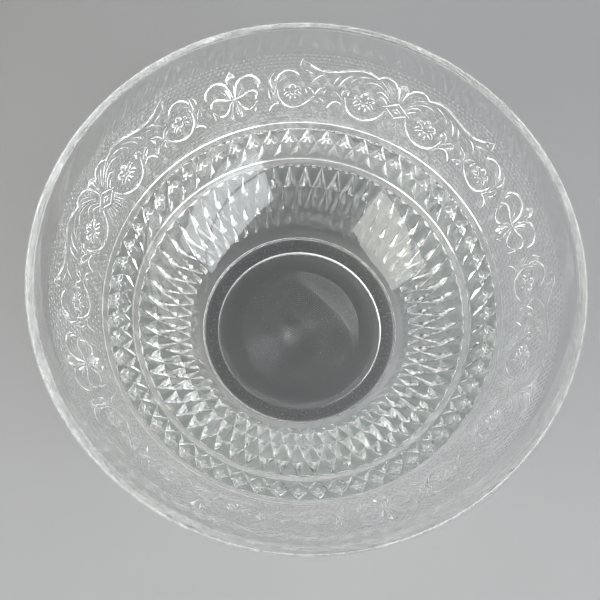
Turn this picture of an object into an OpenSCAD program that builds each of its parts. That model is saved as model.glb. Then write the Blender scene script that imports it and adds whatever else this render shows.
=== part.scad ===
// Pressed-glass punch bowl.
//
// One moulded piece of glass: a flaring wall on a low foot ring, smooth inside and patterned outside.
// Origin at the centre of the foot's resting plane, +Z up, millimetres.
// The wall's outer face is one circular arc in section. A place on it is a turn about Z and a share of
// the arc, from 0 at the rim to 1 at the heel, where the wall meets the foot.

/* [Bowl] */
// Outside diameter at the rim
rim_d = 280; // [270:1:290]
// Height from the table to the rim
height = 118.5; // [114:0.5:122]
// Slope of the wall just under the rim, in degrees from level
rim_slope = 75; // [73:1:77]
// Thickness of the wall
wall_t = 5; // [4.5:0.1:5.5]
// Height of the inside floor above the table
floor_h = 8.5; // [8:0.1:9.5]
// Radius of the curve between the inside floor and the wall
floor_fillet = 10; // [8:1:12]

/* [Foot] */
// Diameter where the wall ends and the foot begins
heel_d = 126.5; // [125:0.5:129]
// Height of the heel above the table
heel_h = 6; // [5.8:0.1:6.6]
// Outside diameter of the foot ring
foot_d = 116.6; // [114:0.2:117]
// Radius of the foot ring's outer bottom edge
foot_round = 1.5; // [1:0.1:2]
// Radius of the cove between the foot ring and the wall
cove_r = 2.4; // [2:0.1:2.6]
// Inner diameter of the flat ring that rests on the table
rest_inner_d = 99; // [96:0.5:101]
// Diameter of the sunk disc inside the foot ring
recess_d = 91.5; // [86:0.5:93]
// Height of the sunk disc above the table
recess_h = 1.5; // [1:0.1:2]

/* [Pattern] */
// Turn of the pattern about Z, in degrees from +X to the first diamond's ridge
pattern_turn = -25.5; // [-45:0.5:45]
// How many diamonds and flutes go round the bowl
repeats = 60; // [56:4:64]
// Height of the pattern's high points above its low points
relief = 1.4; // [1:0.1:1.6]
// Radius of the upper bead's half-round section
upper_bead_r = 1.5; // [1.2:0.1:1.7]
// Radius of the lower bead's half-round section
lower_bead_r = 1.2; // [1:0.1:1.4]

/* [Hidden] */

glass = [0.80, 0.86, 0.84, 0.6];
pitch = 360 / repeats;
wall_steps = 36;        // straight pieces in the wall's arc
round_steps = 8;        // straight pieces in each small round
seat = 0.5;             // height of the pattern's low points above the wall
root = 1.5;             // how far the pattern's bands reach into the wall
edge_relief = 0.6;      // share of the relief that the bands' edge triangles have

// Shares of the wall's arc at which each band's rows of corners and each bead lie
upper_bead_at = 0.484;
diamond_rows = [0.506, 0.572, 0.644];
lower_bead_at = 0.658;
flute_rows = [0.683, 0.789, 0.894, 0.968, 0.996];

// The wall's arc: its radius follows from the slope at the rim and the place of the heel
inward = [-sin(rim_slope), cos(rim_slope)];
lip_r = wall_t / 2;
lip_centre = [rim_d / 2 - lip_r, height - lip_r];
wall_top = lip_centre - lip_r * inward;
heel = [heel_d / 2, heel_h];
drop = heel - wall_top;
arc_r = (drop * drop) / (2 * drop * inward);
arc_centre = wall_top + arc_r * inward;
heel_slope = asin((heel.x - arc_centre.x) / arc_r);

// The inside face: the same arc moved in by the wall's thickness, then a fillet down to the floor
fillet_gap = arc_r - wall_t - floor_fillet;
fillet_y = floor_h + floor_fillet;
fillet_x = arc_centre.x + sqrt(fillet_gap ^ 2 - (arc_centre.y - fillet_y) ^ 2);
fillet_slope = asin((fillet_x - arc_centre.x) / fillet_gap);
fillet_share = share_at(fillet_slope);

// Slope of the wall, in degrees from level, at a share of the arc, and the other way round
function slope_at(share) = rim_slope + (heel_slope - rim_slope) * share;
function share_at(slope) = (slope - rim_slope) / (heel_slope - rim_slope);

// A point of the section, at a share of the arc and a distance outwards from the wall's outer face
function off_wall(share, out) = arc_centre + (arc_r + out) * [sin(slope_at(share)), -cos(slope_at(share))];

// The same point turned about Z
function on_bowl(turn, share, out) = let (p = off_wall(share, out)) [p.x * cos(turn), p.x * sin(turn), p.y];

// Points along an arc about a centre, from one angle to another
function arc(centre, r, from, to, steps) =
    [for (i = [0:steps]) let (a = from + (to - from) * i / steps) centre + r * [cos(a), sin(a)]];

foot_r = foot_d / 2;
side_top = heel_h - 0.5 - cove_r;   // where the foot ring's upright side turns into the cove
section = concat(
    [[0, recess_h], [recess_d / 2, recess_h], [rest_inner_d / 2, 0]],
    arc([foot_r - foot_round, foot_round], foot_round, -90, 0, round_steps),
    arc([foot_r + cove_r, side_top], cove_r, 180, 110, round_steps),
    [for (i = [0:wall_steps]) off_wall(1 - i / wall_steps, 0)],
    arc(lip_centre, lip_r, rim_slope - 90, rim_slope + 90, round_steps),
    [for (i = [0:wall_steps]) off_wall(fillet_share * i / wall_steps, -wall_t)],
    arc([fillet_x, fillet_y], floor_fillet, fillet_slope - 90, -90, round_steps),
    [[0, floor_h]]
);

// The plain body of glass, turned from its section
module shell() {
    rotate_extrude($fn = 180) polygon(section);
}

// A half-round bead round the wall
module bead(share, r) {
    rotate_extrude($fn = 180) translate(off_wall(share, 0)) circle(r = r, $fn = 24);
}

// A band of pointed rhombi, edged with pointed triangles. Each row of corners is staggered by half a
// pitch from the one above, so the corners of three rows make one row of rhombi.
module faceted_band(rows) {
    last = len(rows) - 1;
    count = repeats;
    corners = [for (j = [0:last]) for (k = [0:count - 1]) on_bowl(pitch * (k + (j % 2) / 2), rows[j], seat)];
    backs = [for (j = [0, last]) for (k = [0:count - 1]) on_bowl(pitch * (k + (j % 2) / 2), rows[j], -root)];
    peaks = [for (j = [1:last - 1]) for (k = [0:count - 1])
        on_bowl(pitch * (k + ((j - 1) % 2) / 2), rows[j], seat + relief)];
    tops = [for (k = [0:count - 1])
        on_bowl(pitch * (k + 0.5), rows[0] * 0.67 + rows[1] * 0.33, seat + relief * edge_relief)];
    feet = [for (k = [0:count - 1])
        on_bowl(pitch * (k + 0.5), rows[last] * 0.67 + rows[last - 1] * 0.33, seat + relief * edge_relief)];
    first_back = (last + 1) * count;
    first_peak = first_back + 2 * count;
    first_top = first_peak + (last - 1) * count;
    first_foot = first_top + count;

    function at(row, k) = row * count + (k + count) % count;
    function back(row, k) = first_back + row * count + (k + count) % count;
    // Facets from a peak down to each side of a cell whose corners run anticlockwise seen from outside
    function cell(peak, ring) = [for (i = [0:len(ring) - 1]) [peak, ring[(i + 1) % len(ring)], ring[i]]];

    rhombi = [for (j = [0:last - 2]) for (k = [0:count - 1])
        let (side = j % 2)
        each cell(first_peak + j * count + k, [at(j, k), at(j + 1, k - 1 + side), at(j + 2, k), at(j + 1, k + side)])];
    top_triangles = [for (k = [0:count - 1]) each cell(first_top + k, [at(0, k + 1), at(0, k), at(1, k)])];
    foot_triangles = [for (k = [0:count - 1])
        each cell(first_foot + k, [at(last, k), at(last, k + 1), at(last - 1, k)])];
    rim_side = [for (k = [0:count - 1]) [at(0, k), at(0, k + 1), back(0, k + 1), back(0, k)]];
    back_side = [for (k = [0:count - 1]) [back(0, k), back(0, k + 1), back(1, k + 1), back(1, k)]];
    heel_side = [for (k = [0:count - 1]) [back(1, k), back(1, k + 1), at(last, k + 1), at(last, k)]];
    polyhedron(
        points = concat(corners, backs, peaks, tops, feet),
        faces = concat(rhombi, top_triangles, foot_triangles, rim_side, back_side, heel_side)
    );
}

module bowl() {
    color(glass)
        union() {
            shell();
            bead(upper_bead_at, upper_bead_r);
            bead(lower_bead_at, lower_bead_r);
            rotate(pattern_turn) faceted_band(diamond_rows);
            rotate(pattern_turn) faceted_band(flute_rows);
        }
}

bowl();
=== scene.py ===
"""Pressed-glass punch bowl: the visual model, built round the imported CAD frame.

The bowl is one closed mesh of glass. Lengths are in millimetres until the mesh is made. A place on the
wall's outer face is a turn about Z in degrees, v, the distance along the wall below its top edge, and out,
the height above the face.
"""

import math

import bmesh
import bpy
import numpy as np
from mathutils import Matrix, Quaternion, Vector


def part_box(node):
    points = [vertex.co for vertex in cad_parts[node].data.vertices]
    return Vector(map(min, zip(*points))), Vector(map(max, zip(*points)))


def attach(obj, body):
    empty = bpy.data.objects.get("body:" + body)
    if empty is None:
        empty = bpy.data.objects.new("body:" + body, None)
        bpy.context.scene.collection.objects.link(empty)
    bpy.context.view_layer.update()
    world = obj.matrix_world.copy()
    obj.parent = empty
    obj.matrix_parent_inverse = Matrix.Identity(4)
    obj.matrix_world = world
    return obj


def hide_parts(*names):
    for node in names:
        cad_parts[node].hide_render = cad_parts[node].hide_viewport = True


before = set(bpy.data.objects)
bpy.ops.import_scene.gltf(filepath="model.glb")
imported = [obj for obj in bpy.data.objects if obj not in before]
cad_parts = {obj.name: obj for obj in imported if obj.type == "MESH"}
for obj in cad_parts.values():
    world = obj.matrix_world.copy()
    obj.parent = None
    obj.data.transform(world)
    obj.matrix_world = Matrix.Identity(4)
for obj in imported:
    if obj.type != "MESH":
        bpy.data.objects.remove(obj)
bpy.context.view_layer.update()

MM = 0.001

# ---------------------------------------------------------------- driving dimensions

cad_low, cad_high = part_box("bowl")
RIM_R = (cad_high.x - cad_low.x) / 2 / MM
HEIGHT = cad_high.z / MM

WALL = 5.0
LIP_R = WALL / 2
RIM_SLOPE = math.radians(75)  # the wall's slope from level just under the rim
HEEL = np.array((63.25, 6.0))  # radius and height where the wall meets the foot
FLOOR_H = 8.5
FLOOR_FILLET = 10.0

FOOT_R = 58.3
FOOT_ROUND = 0.6
COVE_R = 2.4
REST_INNER_R = 49.5
REST_EDGE_R = 0.2
RECESS_R = 45.75
RECESS_H = 1.5

REPEATS = 60  # diamonds, and flutes in each row
PITCH = 360 / REPEATS
PATTERN_TURN = -25.5  # degrees from +X to the middle of the first diamond and the first cartouche
COLUMNS = 360  # round the plain parts
FINE_COLUMNS = 2400  # round the stippled band
JOIN_DISTANCE = 0.002  # points of two patches that lie closer than this are one

# ---------------------------------------------------------------- the wall's section

inward = np.array((-math.sin(RIM_SLOPE), math.cos(RIM_SLOPE)))
lip_centre = np.array((RIM_R - LIP_R, HEIGHT - LIP_R))
wall_top = lip_centre - LIP_R * inward
drop = HEEL - wall_top
ARC_R = drop @ drop / (2 * drop @ inward)
ARC_CENTRE = wall_top + ARC_R * inward
HEEL_SLOPE = math.asin((HEEL[0] - ARC_CENTRE[0]) / ARC_R)
WALL_LENGTH = ARC_R * (RIM_SLOPE - HEEL_SLOPE)

# Places of the bands, as distances along the wall
STIPPLE_TOP = 18.6
UPPER_BEAD = 0.484 * WALL_LENGTH
DIAMOND_ROWS = np.array((0.506, 0.572, 0.644)) * WALL_LENGTH
LOWER_BEAD = 0.658 * WALL_LENGTH
FLUTE_ROWS = np.array((0.683, 0.789, 0.894, 0.968, 0.998)) * WALL_LENGTH

# Half the beads' breadths, and how high the cut bands' peaks stand
UPPER_BEAD_R = 1.5
LOWER_BEAD_R = 1.2
DIAMOND_PEAK = 2.7
FLUTE_PEAKS = (2.9, 2.5, 1.9)


def off_wall(v, out):
    """Radius and height of a point of the section."""
    slope = RIM_SLOPE - np.asarray(v, float) / ARC_R
    reach = ARC_R + np.asarray(out, float)
    return np.stack([ARC_CENTRE[0] + reach * np.sin(slope), ARC_CENTRE[1] - reach * np.cos(slope)], -1)


def turned_point(turn, section):
    """Points of the section turned about Z."""
    angle = np.radians(np.asarray(turn, float) + PATTERN_TURN)
    r, z = section[..., 0], section[..., 1]
    return np.stack([r * np.cos(angle), r * np.sin(angle), z + 0 * angle], -1)


def on_bowl(turn, v, out=0.0):
    return turned_point(turn, off_wall(v, out))


def arc(centre, radius, start, end, steps):
    """Section points along an arc, angles in degrees."""
    angle = np.radians(np.linspace(start, end, steps + 1))
    return np.asarray(centre) + radius * np.stack([np.cos(angle), np.sin(angle)], -1)


# ---------------------------------------------------------------- patches of the surface


class Skin:
    """The bowl's surface as patches whose edges meet, and are then joined."""

    def __init__(self):
        self.points = []
        self.faces = []
        self.flat = []
        self.count = 0

    def add(self, points, faces, flat=False):
        points = np.asarray(points, float).reshape(-1, 3)
        faces = np.asarray(faces)
        self.points.append(points)
        self.faces.extend((faces + self.count).tolist())
        self.flat.extend([flat] * len(faces))
        self.count += len(points)

    def grid(self, points, flat=False):
        """A closed band from rows of points, each row a ring."""
        rows, columns = points.shape[:2]
        index = np.arange(rows * columns).reshape(rows, columns)
        after = np.roll(index, -1, axis=1)
        faces = np.stack([index[:-1], after[:-1], after[1:], index[1:]], -1).reshape(-1, 4)
        self.add(points, faces, flat)

    def turned(self, section):
        """A section turned about Z."""
        turns = np.arange(COLUMNS) * 360 / COLUMNS
        self.grid(turned_point(turns[None, :], np.asarray(section, float)[:, None, :]))

    def zip(self, ring_a, ring_b):
        """Triangles between two rings with different numbers of points, both starting at the same turn."""
        n, m = len(ring_a), len(ring_b)
        faces = []
        i = j = 0
        while i < n or j < m:
            if j >= m or (i < n and (i + 1) * m <= (j + 1) * n):
                faces.append((i % n, (i + 1) % n, n + j % m))
                i += 1
            else:
                faces.append((i % n, n + (j + 1) % m, n + j % m))
                j += 1
        self.add(np.concatenate([ring_a, ring_b]), faces)

    def mesh(self, name):
        """One closed mesh in metres, patches joined and normals outwards."""
        made = bpy.data.meshes.new(name)
        made.from_pydata((np.concatenate(self.points) * MM).tolist(), [], self.faces)
        made.polygons.foreach_set("use_smooth", np.logical_not(self.flat))
        joined = bmesh.new()
        joined.from_mesh(made)
        bmesh.ops.remove_doubles(joined, verts=joined.verts, dist=JOIN_DISTANCE * MM)
        bmesh.ops.recalc_face_normals(joined, faces=joined.faces)
        joined.to_mesh(made)
        joined.free()
        return made


def ring(columns, v):
    """A ring of points on the wall."""
    turns = np.arange(columns) * 360 / columns
    return on_bowl(turns, v)


# ---------------------------------------------------------------- the raised ornament
# One half of one panel is drawn, from the middle of a cartouche to the middle of a fleur-de-lis, and is
# repeated four times round the bowl and mirrored. Drawing units are millimetres at the band's middle: x from
# the cartouche's middle, y up from the centre of its diamond.

PANELS = 4
PANEL_HALF = 95.6
DIAMOND_V = 45.0  # where the diamond's centre lies along the wall
SECTOR = FINE_COLUMNS // (2 * PANELS)
ROW_STEP = 0.32
STEEPNESS = 0.92  # rise of a stroke's flanks for each millimetre across them
LEAF_STEEPNESS = 1.55  # how much steeper a leaf's outer flanks are
BREADTH = 1.35  # scales every stroke's width
FADE = 1.0  # the relief sinks to nothing over this distance at the band's edges

band_rows = np.arange(STIPPLE_TOP - 1.2, UPPER_BEAD - 1.9, ROW_STEP)
ABOVE_BAND = band_rows[0] - 0.4  # where the plain wall ends above the band
BELOW_BAND = band_rows[-1] + 0.3  # and where it starts again below
half_x, half_y = np.meshgrid(np.linspace(0, PANEL_HALF, SECTOR + 1), DIAMOND_V - band_rows)


def spline(points, step=0.3):
    """A smooth curve through the points, sampled about every step, and how far along it each sample is, from
    0 to 1."""
    p = np.asarray(points, float)
    p = np.vstack([2 * p[0] - p[1], p, 2 * p[-1] - p[-2]])
    out = []
    for a, b, c, d in zip(p[:-3], p[1:-2], p[2:-1], p[3:]):
        t = np.linspace(0, 1, max(2, int(np.hypot(*(c - b)) / step) + 1), endpoint=False)[:, None]
        out.append(
            0.5 * (2 * b + (c - a) * t + (2 * a - 5 * b + 4 * c - d) * t**2 + (3 * b - a - 3 * c + d) * t**3)
        )
    curve = np.vstack([*out, p[-2:-1]])
    walked = np.concatenate([[0], np.cumsum(np.hypot(*np.diff(curve, axis=0).T))])
    return curve, walked / walked[-1]


class Relief:
    """Heights over the half panel, built up stroke by stroke. All flanks have about the same slope, so wide
    strokes stand higher than narrow ones."""

    def __init__(self):
        self.height = np.zeros_like(half_x)

    def nearness(self, points, widths):
        """1 on a stroke's middle line, falling to 0 at its edge, and the stroke's half-width there. widths
        are half-widths, evenly spaced."""
        curve, along = spline(points)
        width = BREADTH * np.interp(along, np.linspace(0, 1, len(widths)), widths)
        reach = BREADTH * max(widths) + 0.5
        near = np.zeros_like(half_x)
        local_width = np.zeros_like(half_x)
        low, high = curve.min(0) - reach, curve.max(0) + reach
        inside = (half_x >= low[0]) & (half_x <= high[0]) & (half_y >= low[1]) & (half_y <= high[1])
        dx = half_x[inside][:, None] - curve[None, :, 0]
        dy = half_y[inside][:, None] - curve[None, :, 1]
        away = np.hypot(dx, dy) / width[None, :]
        near[inside] = np.clip(1 - away.min(1), 0, 1)
        local_width[inside] = width[away.argmin(1)]
        return near, local_width

    def raise_to(self, heights):
        self.height = np.maximum(self.height, heights)

    def stroke(self, points, widths):
        """A ridge with straight flanks."""
        near, width = self.nearness(points, widths)
        self.raise_to(STEEPNESS * width * near)

    def leaf(self, points, widths, steep=0.9, vein=0.55):
        """A ridge that is highest halfway in from its edge, with a shallow groove down its middle."""
        near, width = self.nearness(points, widths)
        flank = LEAF_STEEPNESS * np.minimum(near, 0.5)
        groove = vein * np.clip(near - 0.5, 0, 0.5)
        self.raise_to(STEEPNESS * steep * width * (flank - groove))

    def flower(self, centre, reach):
        """Six grooved petals round a small eye."""
        for petal in range(6):
            angle = math.radians(90 + 60 * petal)
            along = np.array((math.cos(angle), math.sin(angle)))
            spots = [np.asarray(centre) + along * reach * share for share in (0.22, 0.55, 0.8, 1.0)]
            self.leaf(spots, [0.09 * reach, 0.29 * reach, 0.26 * reach, 0.03 * reach], 0.95, 0.6)
        self.stroke([centre, np.asarray(centre) + (0.01, 0)], [0.14 * reach, 0.14 * reach])

    def frame(self, half_w, half_h, width, steep):
        """A raised diamond outline round the drawing's origin."""
        off = np.abs(half_x / half_w) + np.abs(half_y / half_h) - 1
        scale = half_w * half_h / math.hypot(half_w, half_h)
        near = np.clip(1 - np.abs(off) * scale / width, 0, 1)
        self.raise_to(STEEPNESS * steep * width * near)

    def clear(self, half_w, half_h):
        """Flattens what lies inside a diamond."""
        self.height[np.abs(half_x / half_w) + np.abs(half_y / half_h) < 1] = 0


def palmette(relief):
    """The upright leaf above the diamond, the curl beside it, and the rays between them."""
    relief.leaf([(0, 5), (0, 10), (0, 15), (0, 19.7)], [0.9, 1.5, 2.7, 0.1], 1.1)
    relief.stroke([(3.3, 13.6), (5.8, 17.1), (9.6, 18.6), (12.2, 18.2), (14.5, 16.2)], [0.7, 1.2, 1.3, 0.9])
    for foot, middle, tip in (
        ((1.0, 5.6), (2.3, 10.1), (3.5, 14.4)),
        ((1.5, 5.6), (3.7, 10.5), (7.0, 16.0)),
        ((2.0, 5.5), (5.2, 10.4), (10.2, 16.6)),
        ((2.6, 5.3), (6.8, 10.0), (13.4, 15.8)),
    ):
        relief.stroke([foot, middle, tip], [0.5, 0.7, 0.7])


def wing(relief):
    """The long acanthus leaf: its crest, then the blades under it."""
    crest = [(14.6, 16.0), (17.9, 17.1), (22.4, 17.9), (28.2, 16.8), (35.2, 14.6), (41.0, 13.5)]
    crest += [(46.7, 14.2), (51.2, 16.6), (54.2, 19.7), (56.2, 21.9)]
    relief.stroke(crest, [1.1, 1.7, 1.8, 1.7, 1.6, 1.5, 1.4, 0.5])
    relief.stroke([(56.1, 21.6), (56.7, 18.3), (55.6, 15.0)], [0.6, 0.7, 0.3])
    relief.stroke([(54.6, 15.0), (52.0, 12.9), (48.6, 11.7)], [0.4, 0.8, 0.4])
    blades = (
        [(2.9, 5.2), (7.4, 10.2), (13.0, 13.7), (18.6, 15.1), (23.2, 14.4), (27.0, 11.9), (29.6, 7.4)],
        [(23.0, 15.6), (28.0, 14.2), (31.8, 11.2), (35.0, 5.9)],
        [(28.8, 15.1), (33.4, 13.1), (36.4, 10.1), (38.4, 6.2)],
        [(34.4, 13.9), (40.4, 12.2), (46.2, 10.7), (50.3, 6.8)],
        [(3.8, 4.6), (8.3, 9.1), (13.2, 12.0), (17.9, 12.5), (21.2, 10.2)],
        [(5.0, 3.4), (8.2, 6.6), (11.4, 8.2), (13.8, 6.8)],
        [(6.2, 1.9), (8.6, 4.0), (11.2, 5.4)],
    )
    for blade in blades:
        relief.stroke(blade, [0.5, 0.8, 0.9, 0.4])
    for low, high in (((24.6, 13.0), (27.4, 9.4)), ((30.4, 13.2), (33.6, 8.6)), ((40.0, 10.8), (45.0, 8.6))):
        relief.stroke([low, high], [0.5, 0.4])


def fan(relief):
    """Rays below the diamond."""
    rays = (
        ((0.0, -5.2), (0.0, -12.8), 0.6),
        ((1.3, -5.2), (2.5, -12.0), 0.6),
        ((2.6, -5.0), (4.9, -12.4), 0.6),
        ((3.8, -4.5), (7.2, -12.0), 0.8),
        ((5.0, -3.9), (9.8, -12.8), 1.0),
    )
    for top, foot, width in rays:
        relief.stroke([top, foot], [0.5, width, 0.4])


def big_ring(relief):
    """The ring beside the diamond, with leaves and a tendril on its far side and a flower in it."""
    ring_line = [(5.8, -2.6), (7.9, -7.4), (12.0, -11.6), (17.2, -13.8), (22.4, -13.7), (27.1, -11.4)]
    ring_line += [(30.1, -7.4), (31.3, -3.3), (31.7, -0.6)]
    relief.stroke(ring_line, [0.9, 1.3, 1.5, 1.5, 1.2, 0.8])
    relief.leaf([(32.3, -1.6), (31.2, 1.6), (28.7, 4.7)], [0.7, 1.7, 0.1])
    relief.leaf([(31.6, -5.0), (35.2, -1.9), (37.4, 0.0), (40.2, 1.8)], [0.6, 1.4, 1.6, 0.1])
    tendril = [(30.7, -8.4), (32.8, -6.3), (35.6, -5.4), (38.4, -7.1), (41.0, -10.6)]
    relief.stroke(tendril, [0.5, 1.0, 1.1, 0.3])
    relief.stroke([(31.8, -8.4), (28.8, -11.9), (25.2, -14.6)], [0.4, 0.7, 0.4])
    relief.flower((19.6, -1.5), 6.4)


def crossed_leaves(relief):
    """Short leaves between the two rings."""
    relief.leaf([(48.6, -2.4), (45.0, 1.0), (41.4, 4.7)], [0.5, 1.8, 0.2])
    relief.leaf([(48.6, -2.4), (52.0, 0.9), (54.6, 4.6)], [0.5, 1.6, 0.2])
    relief.leaf([(48.2, -3.4), (44.8, -5.8), (41.7, -7.9)], [0.5, 1.4, 0.2])
    relief.stroke([(48.7, -3.0), (48.8, -5.8), (48.3, -8.6)], [0.5, 0.8, 0.2])


def small_ring(relief):
    """The outer ring, with a crescent over it, leaves and a tendril on its far side, and a flower in it."""
    ring_line = [(48.8, -3.0), (52.0, -6.8), (55.4, -9.3), (59.5, -10.8), (63.4, -10.6), (66.9, -8.8)]
    ring_line += [(69.6, -5.0), (70.8, -1.0), (70.6, 3.0), (69.2, 6.6), (66.8, 9.1), (64.4, 9.9)]
    relief.stroke(ring_line, [0.8, 1.2, 1.35, 1.3, 1.1, 0.9, 0.4])
    relief.stroke([(49.9, -6.0), (53.8, -9.8)], [0.5, 0.5])
    crescent = [(57.2, 9.8), (58.9, 12.0), (61.4, 13.5), (64.6, 13.9)]
    crescent += [(67.3, 12.5), (69.2, 10.2), (70.2, 7.2)]
    relief.stroke(crescent, [0.4, 1.1, 1.4, 1.1, 0.5])
    relief.leaf([(72.0, 3.0), (72.6, 8.6), (70.8, 14.9)], [0.6, 1.5, 0.1])
    relief.leaf([(70.8, -6.6), (73.4, -2.0), (75.0, 4.6)], [0.5, 1.4, 0.1])
    tendril = [(66.2, -9.4), (69.1, -7.8), (71.9, -7.8), (74.0, -9.4), (75.9, -12.6)]
    relief.stroke(tendril, [0.6, 1.0, 0.9, 0.3])
    relief.flower((61.4, 0.2), 5.3)


def fleur_de_lis(relief):
    """Its left half; the mirror gives the rest."""
    middle = PANEL_HALF

    def left(*points):
        return [(middle + x, y) for x, y in points]

    relief.stroke(left((0, 10.0), (0, 12.4), (0, 14.8), (0, 17.4), (0, 20.6)), [0.4, 1.2, 2.2, 1.3, 0.05])
    relief.stroke(left((-1.7, 13.4), (-1.4, 7.0), (-0.9, 1.0)), [0.7, 0.6, 0.6])
    relief.stroke(left((-1.3, 1.2), (-2.2, 6.5), (-4.2, 11.0), (-7.9, 13.6), (-11.2, 13.2), (-14.0, 10.9),
                       (-15.3, 7.6), (-14.8, 4.8)), [0.7, 1.3, 1.7, 1.6, 1.2, 0.5])
    relief.stroke(left((-3.0, 1.6), (-4.1, 4.6), (-6.0, 7.4), (-8.4, 9.2)), [0.5, 0.7, 0.3])
    relief.stroke(left((-1.2, 0.6), (-5.1, 1.3), (-8.7, 3.0), (-11.6, 3.2), (-13.4, 0.8), (-12.7, -2.6)),
                  [1.0, 1.3, 1.3, 1.0, 0.4])
    relief.stroke(left((-1.6, -0.9), (-3.3, -5.2), (-5.9, -8.1), (-9.2, -8.4), (-11.8, -6.2), (-13.2, -3.4)),
                  [0.8, 1.2, 1.4, 1.0, 0.5])
    relief.stroke(left((-13.3, -4.0), (-12.5, -7.5), (-11.0, -11.4)), [0.7, 0.9, 0.3])
    relief.leaf(left((0, 0.2), (0, -5.0), (0, -9.8), (0, -15.0)), [0.9, 1.7, 2.9, 0.1], 1.05, 0.5)


def stipple():
    """Small domes in staggered rows, evenly spaced along every row. Every row has a whole number of
    domes in each half panel, so they meet at the mirror lines."""
    pitch, row_pitch, radius, height = 3.2, 2.42, 1.05, 0.28
    turns = half_x * 180 / PANELS / PANEL_HALF
    heights = np.zeros_like(half_x)
    v = DIAMOND_V - half_y
    for number, row in enumerate(np.arange(STIPPLE_TOP, UPPER_BEAD - 2.4, row_pitch)):
        around = off_wall(row, 0)[0]
        dots = 2 * PANELS * round(2 * math.pi * around / pitch / (2 * PANELS))
        phase = turns * dots / 360 + 0.5 * (number % 2)
        across = (phase - np.round(phase)) * 2 * math.pi * around / dots
        near = 1 - (across**2 + (v - row) ** 2) / radius**2
        heights = np.maximum(heights, height * np.clip(near, 0, 1))
    return heights


def ornament_heights():
    relief = Relief()
    fan(relief)
    big_ring(relief)
    crossed_leaves(relief)
    small_ring(relief)
    fleur_de_lis(relief)
    wing(relief)
    palmette(relief)
    relief.clear(8.6, 6.2)
    relief.frame(7.2, 4.9, 1.1, 1.1)
    relief.frame(2.0, 1.3, 1.0, 1.1)
    heights = np.maximum(relief.height, stipple())
    fade = np.clip(np.minimum(band_rows - band_rows[0], band_rows[-1] - band_rows) / FADE, 0, 1)
    return heights * fade[:, None]


def ornament_band(skin):
    """The stippled band, with its heights mirrored and repeated round the bowl."""
    heights = ornament_heights()
    column = np.arange(FINE_COLUMNS) % (2 * SECTOR)
    folded = np.where(column > SECTOR, 2 * SECTOR - column, column)
    turns = np.arange(FINE_COLUMNS) * 360 / FINE_COLUMNS
    skin.grid(on_bowl(turns[None, :], band_rows[:, None], heights[:, folded]))
    for edge, beyond in ((band_rows[0], ABOVE_BAND), (band_rows[-1], BELOW_BAND)):
        skin.zip(ring(COLUMNS, beyond), ring(FINE_COLUMNS, edge))


# ---------------------------------------------------------------- cut diamonds and flutes


def repeat(points):
    """The same points turned by every whole pitch round the bowl."""
    angle = np.radians(np.arange(REPEATS) * PITCH)[:, None]
    x, y, z = points[..., 0], points[..., 1], points[..., 2]
    return np.stack(
        [x * np.cos(angle) - y * np.sin(angle), x * np.sin(angle) + y * np.cos(angle), z + 0 * angle], -1
    )


def repeated_faces(faces, points_each):
    faces = np.asarray(faces)
    return (faces[None] + (np.arange(REPEATS) * points_each)[:, None, None]).reshape(-1, faces.shape[-1])


def rhombus(skin, half_turn, top, side, foot, peak, steps, carve=None):
    """A row of pointed rhombi, each a grid of steps by steps cells. half_turn is the turn of the first
    one's middle in half pitches. carve gives how deep a place of the rhombus is sunk. Cells that lie across
    an edge between two facets are cut in two along it, and carved cells are shaded smooth."""
    turn = half_turn * PITCH / 2
    corners = {
        "top": on_bowl(turn, top),
        "foot": on_bowl(turn, foot),
        "left": on_bowl(turn - PITCH / 2, side),
        "right": on_bowl(turn + PITCH / 2, side),
    }
    apex = on_bowl(turn, side, peak)
    outwards = apex - on_bowl(turn, side)
    outwards = outwards / np.linalg.norm(outwards)
    p, q = np.meshgrid(np.arange(steps + 1), np.arange(steps + 1), indexing="ij")
    x = ((p - q) / steps).reshape(-1, 1)
    y = (1 - (p + q) / steps).reshape(-1, 1)
    points = (
        apex * (1 - abs(x) - abs(y))
        + np.where(x > 0, corners["right"], corners["left"]) * abs(x)
        + np.where(y > 0, corners["top"], corners["foot"]) * abs(y)
    )
    depth = np.zeros_like(x)
    if carve is not None:
        half_w = np.linalg.norm(corners["right"] - corners["left"]) / 2
        half_h = np.linalg.norm(corners["top"] - corners["foot"]) / 2
        depth = carve(x * half_w, y * half_h)
    points = points - outwards * depth
    quads, triangles, carved = [], [], []
    for i in range(steps):
        for j in range(steps):
            a = i * (steps + 1) + j
            b, c, d = a + steps + 1, a + steps + 2, a + 1
            if depth[[a, b, c, d]].any():
                carved.append((a, b, c, d))
            elif i + j + 1 == steps:
                triangles += [(a, b, d), (b, c, d)]
            elif i == j:
                triangles += [(a, b, c), (a, c, d)]
            else:
                quads.append((a, b, c, d))
    for faces, flat in ((quads, True), (triangles, True), (carved, False)):
        if faces:
            skin.add(repeat(points), repeated_faces(faces, len(points)), flat)


def edge_triangle(skin, half_turn, base, point, depth, peak, steps):
    """A row of pointed triangles between rhombi. Their bases lie on a ring, and depth is how far down the
    pointed triangle its highest place lies, as a share."""
    turn = half_turn * PITCH / 2
    base_steps = round(COLUMNS / REPEATS)
    base_turns = turn + np.linspace(-PITCH / 2, PITCH / 2, base_steps + 1)
    base_line = on_bowl(base_turns, base)
    tip = on_bowl(turn, point)
    share = np.linspace(0, 1, steps + 1)[1:, None]
    down = base_line[-1] * (1 - share) + tip * share
    up = tip * (1 - share) + base_line[0] * share
    outline = np.vstack([base_line, down, up[:-1]])
    apex = on_bowl(turn, base + (point - base) * depth, peak)
    points = np.vstack([outline, apex])
    count = len(outline)
    faces = [(i, (i + 1) % count, count) for i in range(count)]
    skin.add(repeat(points), repeated_faces(faces, len(points)), flat=True)


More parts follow.
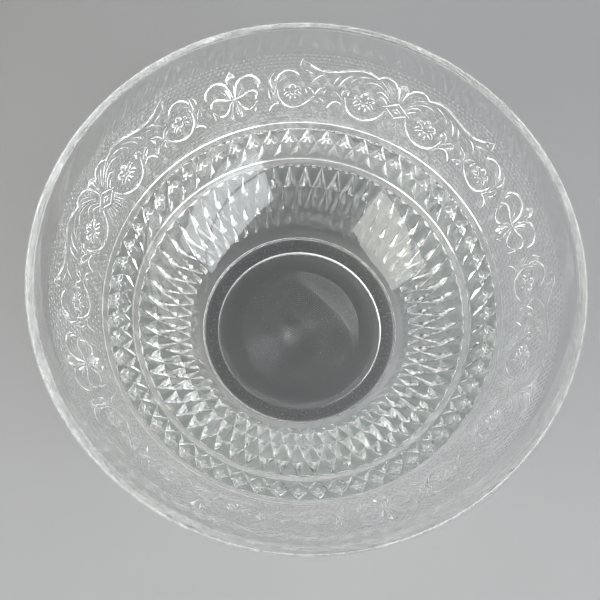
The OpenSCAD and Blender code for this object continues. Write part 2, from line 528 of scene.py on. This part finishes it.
def star(x, y):
    """How deep four small petals are sunk round a point a little above the diamond's peak. Each petal is
    given by where its middle is from that point, and its half-width and half-height."""
    rise, depth = 0.5, 1.15
    petals = ((0, 2.7, 1.1, 2.0), (0, -2.6, 1.1, 1.9), (2.1, 0, 1.55, 1.15), (-2.1, 0, 1.55, 1.15))
    sunk = np.zeros_like(x)
    for petal_x, petal_y, half_w, half_h in petals:
        near = 1 - ((x - petal_x) / half_w) ** 2 - ((y - rise - petal_y) / half_h) ** 2
        sunk = np.maximum(sunk, depth * np.clip(near, 0, 1))
    return sunk


def diamond_band(skin):
    """A row of star-cut diamonds with triangles above and below."""
    top, side, foot = DIAMOND_ROWS
    steps = 32
    edge_triangle(skin, 1, top, side, depth=0.25, peak=1.6, steps=steps)
    rhombus(skin, 0, top, side, foot, DIAMOND_PEAK, steps, star)
    edge_triangle(skin, 1, foot, side, depth=0.32, peak=1.7, steps=steps)


def flute_band(skin):
    """Three staggered rows of long rhombi, with triangles at both edges."""
    rows = FLUTE_ROWS
    edge_triangle(skin, 1, rows[0], rows[1], depth=0.16, peak=1.5, steps=2)
    for row, peak in enumerate(FLUTE_PEAKS):
        rhombus(skin, row % 2, rows[row], rows[row + 1], rows[row + 2], peak, steps=2)
    edge_triangle(skin, 1, rows[4], rows[3], depth=0.35, peak=0.5, steps=2)


# ---------------------------------------------------------------- rim, beads, inside, foot and base


def bead_section(start, middle, radius, end):
    """The wall's face with a nearly straight-sided bead on it."""
    lead = np.linspace(start, middle - radius - 0.2, 3)
    across = np.linspace(-1, 1, 11)
    bead = off_wall(middle + radius * across, 0.9 * radius * (1 - abs(across)) ** 0.8)
    tail = np.linspace(middle + radius + 0.2, end, 3)
    return np.vstack([off_wall(lead, 0), bead, off_wall(tail, 0)])


def rim_and_inside(skin):
    """The plain band under the rim, the rounded lip, and the smooth inner face down to its middle."""
    inner_r = ARC_R - WALL
    gap = inner_r - FLOOR_FILLET
    fillet_y = FLOOR_H + FLOOR_FILLET
    fillet_x = ARC_CENTRE[0] + math.sqrt(gap**2 - (ARC_CENTRE[1] - fillet_y) ** 2)
    fillet_slope = math.asin((fillet_x - ARC_CENTRE[0]) / gap)
    fillet_v = (RIM_SLOPE - fillet_slope) * ARC_R
    lip_start = math.degrees(RIM_SLOPE) - 90
    skin.turned(off_wall(np.linspace(ABOVE_BAND, 0, 12), 0))
    skin.turned(arc(lip_centre, LIP_R, lip_start, lip_start + 180, 16))
    skin.turned(off_wall(np.linspace(0, fillet_v, 50), -WALL))
    skin.turned(arc((fillet_x, fillet_y), FLOOR_FILLET, math.degrees(fillet_slope) - 90, -90, 12))
    skin.turned([(r, FLOOR_H) for r in np.linspace(fillet_x, 0, 12)])


def foot_ring(skin):
    """From the heel down the cove and the foot ring's side to its resting face and the sunk base."""
    heel_end = off_wall(FLUTE_ROWS[-1], 0)
    side_top = HEEL[1] - 0.5 - COVE_R
    cove = arc((FOOT_R + COVE_R, side_top), COVE_R, 110, 180, 8)
    bottom = arc((FOOT_R - FOOT_ROUND, FOOT_ROUND), FOOT_ROUND, 0, -90, 8)
    inner_edge = arc((REST_INNER_R + REST_EDGE_R, REST_EDGE_R), REST_EDGE_R, -90, -155, 4)
    skin.turned(np.vstack([[heel_end], cove, bottom, inner_edge, [(RECESS_R, RECESS_H)]]))


def base_dots(skin):
    """The sunk base: concentric rings of dots that point down, inside a plain margin."""
    dot_pitch, dot_height, rings = 1.33, 0.28, 27
    dot_radius = 0.45  # half a dot's breadth, as a share of the pitch
    first_ring = 12  # points in the innermost ring; every second one is a dot's peak
    base = np.array((0.0, RECESS_H))

    def level(radius, count, raised=0.0):
        turns = np.arange(count) * 360 / count
        drops = -raised * (np.arange(count) % 2)
        return turned_point(turns, base + np.stack([np.full(count, radius), drops], -1))

    margin = (RECESS_R, dot_pitch * (rings + 2), dot_pitch * (rings + 1))
    skin.turned([(radius, RECESS_H) for radius in margin])
    before = level(dot_pitch * (rings + 1), COLUMNS)
    for number in range(rings, 0, -1):
        outer = level(dot_pitch * (number + dot_radius), first_ring * number)
        peaks = level(dot_pitch * number, first_ring * number, dot_height)
        inner = level(dot_pitch * (number - dot_radius), first_ring * number)
        skin.zip(before, outer)
        skin.grid(np.stack([outer, peaks, inner]), flat=True)
        before = inner
    skin.grid(np.stack([before, np.repeat([[0, 0, RECESS_H]], len(before), axis=0)]))


def build_bowl():
    skin = Skin()
    rim_and_inside(skin)
    ornament_band(skin)
    skin.turned(bead_section(BELOW_BAND, UPPER_BEAD, UPPER_BEAD_R, DIAMOND_ROWS[0]))
    diamond_band(skin)
    skin.turned(bead_section(DIAMOND_ROWS[2], LOWER_BEAD, LOWER_BEAD_R, FLUTE_ROWS[0]))
    flute_band(skin)
    foot_ring(skin)
    base_dots(skin)
    bowl = bpy.data.objects.new("glass_bowl", skin.mesh("glass_bowl"))
    bpy.context.scene.collection.objects.link(bowl)
    return bowl


# ---------------------------------------------------------------- materials


def new_material(name):
    material = bpy.data.materials.new(name)
    material.use_nodes = True
    return material, material.node_tree.nodes, material.node_tree.links


def glass():
    """Clear pressed glass: a faint grey-green body, a slightly uneven fire-polished face, and fine scuffs on
    the foot's resting face."""
    material, nodes, links = new_material("pressed_glass")
    shader = nodes["Principled BSDF"]
    shader.inputs["Base Color"].default_value = (0.99, 0.993, 0.991, 1)
    shader.inputs["IOR"].default_value = 1.52
    shader.inputs["Transmission Weight"].default_value = 1.0

    place = nodes.new("ShaderNodeTexCoord")
    wave = nodes.new("ShaderNodeTexNoise")
    wave.inputs["Scale"].default_value = 45
    wave.inputs["Detail"].default_value = 1.5
    links.new(place.outputs["Object"], wave.inputs["Vector"])
    bump = nodes.new("ShaderNodeBump")
    bump.inputs["Strength"].default_value = 0.12
    bump.inputs["Distance"].default_value = 0.0006
    links.new(wave.outputs["Fac"], bump.inputs["Height"])
    links.new(bump.outputs["Normal"], shader.inputs["Normal"])

    scuff = nodes.new("ShaderNodeTexNoise")
    scuff.inputs["Scale"].default_value = 900
    scuff.inputs["Detail"].default_value = 4
    links.new(place.outputs["Object"], scuff.inputs["Vector"])
    split = nodes.new("ShaderNodeSeparateXYZ")
    links.new(place.outputs["Object"], split.inputs["Vector"])
    near_table = nodes.new("ShaderNodeMapRange")
    near_table.inputs["From Min"].default_value = 0.0001
    near_table.inputs["From Max"].default_value = 0.0006
    near_table.inputs["To Min"].default_value = 0.45
    near_table.inputs["To Max"].default_value = 0.03
    links.new(split.outputs["Z"], near_table.inputs["Value"])
    rough = nodes.new("ShaderNodeMath")
    rough.operation = "MULTIPLY"
    links.new(near_table.outputs["Result"], rough.inputs[0])
    links.new(scuff.outputs["Fac"], rough.inputs[1])
    links.new(rough.outputs["Value"], shader.inputs["Roughness"])

    body = nodes.new("ShaderNodeVolumeAbsorption")
    body.inputs["Color"].default_value = (0.945, 0.965, 0.955, 1)
    body.inputs["Density"].default_value = 4.0
    links.new(body.outputs["Volume"], nodes["Material Output"].inputs["Volume"])
    return material


def tabletop():
    """A plain pale floor with a barely uneven tone."""
    material, nodes, links = new_material("pale_floor")
    shader = nodes["Principled BSDF"]
    shader.inputs["Roughness"].default_value = 0.75
    place = nodes.new("ShaderNodeTexCoord")
    grain = nodes.new("ShaderNodeTexNoise")
    grain.inputs["Scale"].default_value = 6
    grain.inputs["Detail"].default_value = 6
    links.new(place.outputs["Object"], grain.inputs["Vector"])
    tone = nodes.new("ShaderNodeValToRGB")
    tone.color_ramp.elements[0].color = (0.50, 0.505, 0.51, 1)
    tone.color_ramp.elements[1].color = (0.53, 0.535, 0.54, 1)
    links.new(grain.outputs["Fac"], tone.inputs["Fac"])
    links.new(tone.outputs["Color"], shader.inputs["Base Color"])
    return material


# ---------------------------------------------------------------- stage, light and camera

FLOOR_R = 6.0  # metres
FLOOR_GAP = 0.0002  # metres between the foot and the floor, so that their faces don't coincide


def build_floor():
    mesh = bpy.data.meshes.new("floor")
    shape = bmesh.new()
    bmesh.ops.create_circle(shape, cap_ends=True, radius=FLOOR_R, segments=96)
    shape.to_mesh(mesh)
    shape.free()
    mesh.materials.append(tabletop())
    floor = bpy.data.objects.new("floor", mesh)
    floor.location.z = -FLOOR_GAP
    bpy.context.scene.collection.objects.link(floor)


def direction(azimuth, elevation):
    """Unit vector; azimuth anticlockwise from +X, in degrees."""
    a, e = math.radians(azimuth), math.radians(elevation)
    return Vector((math.cos(a) * math.cos(e), math.sin(a) * math.cos(e), math.sin(e)))


def softbox(name, azimuth, elevation, distance, width, height, power, colour):
    """A rectangular soft light that faces the bowl."""
    data = bpy.data.lights.new(name, "AREA")
    data.shape = "RECTANGLE"
    data.size, data.size_y = width, height
    data.energy, data.color = power, colour
    lamp = bpy.data.objects.new(name, data)
    away = direction(azimuth, elevation)
    lamp.location = away * distance + Vector((0, 0, HEIGHT * MM / 2))
    lamp.rotation_mode = "QUATERNION"
    lamp.rotation_quaternion = (-away).to_track_quat("-Z", "Y")
    bpy.context.scene.collection.objects.link(lamp)


def build_lights():
    """Two soft windows, and a world that is bright near the horizon, most of all towards azimuth -60, and
    dim overhead."""
    softbox("window_right", -42, 23, 1.6, width=1.5, height=0.55, power=17, colour=(0.93, 0.97, 1.0))
    softbox("window_left", -150, 30, 1.6, width=1.2, height=0.50, power=10, colour=(1.0, 0.97, 0.88))
    world = bpy.data.worlds.new("studio")
    world.use_nodes = True
    nodes, links = world.node_tree.nodes, world.node_tree.links
    place = nodes.new("ShaderNodeTexCoord")
    split = nodes.new("ShaderNodeSeparateXYZ")
    links.new(place.outputs["Generated"], split.inputs["Vector"])
    tone = nodes.new("ShaderNodeValToRGB")
    ramp = tone.color_ramp
    ramp.interpolation = "EASE"
    ramp.elements[0].position = 0.10
    ramp.elements[0].color = (1, 1, 1, 1)
    ramp.elements[1].position = 0.45
    ramp.elements[1].color = (0.05, 0.05, 0.051, 1)
    links.new(split.outputs["Z"], tone.inputs["Fac"])
    links.new(tone.outputs["Color"], nodes["Background"].inputs["Color"])
    facing = nodes.new("ShaderNodeVectorMath")
    facing.operation = "DOT_PRODUCT"
    facing.inputs[1].default_value = direction(-60, 0)
    links.new(place.outputs["Generated"], facing.inputs[0])
    strength = nodes.new("ShaderNodeMapRange")
    strength.inputs["From Min"].default_value = -0.9
    strength.inputs["From Max"].default_value = 0.3
    strength.inputs["To Min"].default_value = 1.5
    strength.inputs["To Max"].default_value = 4.8
    links.new(facing.outputs["Value"], strength.inputs["Value"])
    links.new(strength.outputs["Result"], nodes["Background"].inputs["Strength"])
    bpy.context.scene.world = world


def build_camera():
    """The photograph's view: from above, a little in front of the bowl. Lengths follow the rim's radius."""
    azimuth, elevation, roll = -7.9, 72.3, 8.3
    distance = 3.42 * RIM_R
    aim = Vector((-0.034 * RIM_R, -0.124 * RIM_R, HEIGHT - LIP_R))
    back = direction(azimuth - 90, elevation)
    data = bpy.data.cameras.new("camera")
    data.sensor_width = 36
    data.lens = 58.23
    data.clip_start = 0.02
    camera = bpy.data.objects.new("camera", data)
    camera.location = (aim + back * distance) * MM
    camera.rotation_mode = "QUATERNION"
    turn = Quaternion((0, 0, 1), math.radians(roll))
    camera.rotation_quaternion = (-back).to_track_quat("-Z", "Y") @ turn
    bpy.context.scene.collection.objects.link(camera)
    bpy.context.scene.camera = camera


def set_view():
    """The Standard view transform, and enough light bounces for the paths inside clear cut glass."""
    scene = bpy.context.scene
    scene.view_settings.view_transform = "Standard"
    scene.cycles.max_bounces = 40
    scene.cycles.glossy_bounces = 30
    scene.cycles.transmission_bounces = 30


set_view()
build_camera()
build_lights()
build_floor()
bowl = build_bowl()
bowl.data.materials.append(glass())
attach(bowl, "root")
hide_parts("bowl")
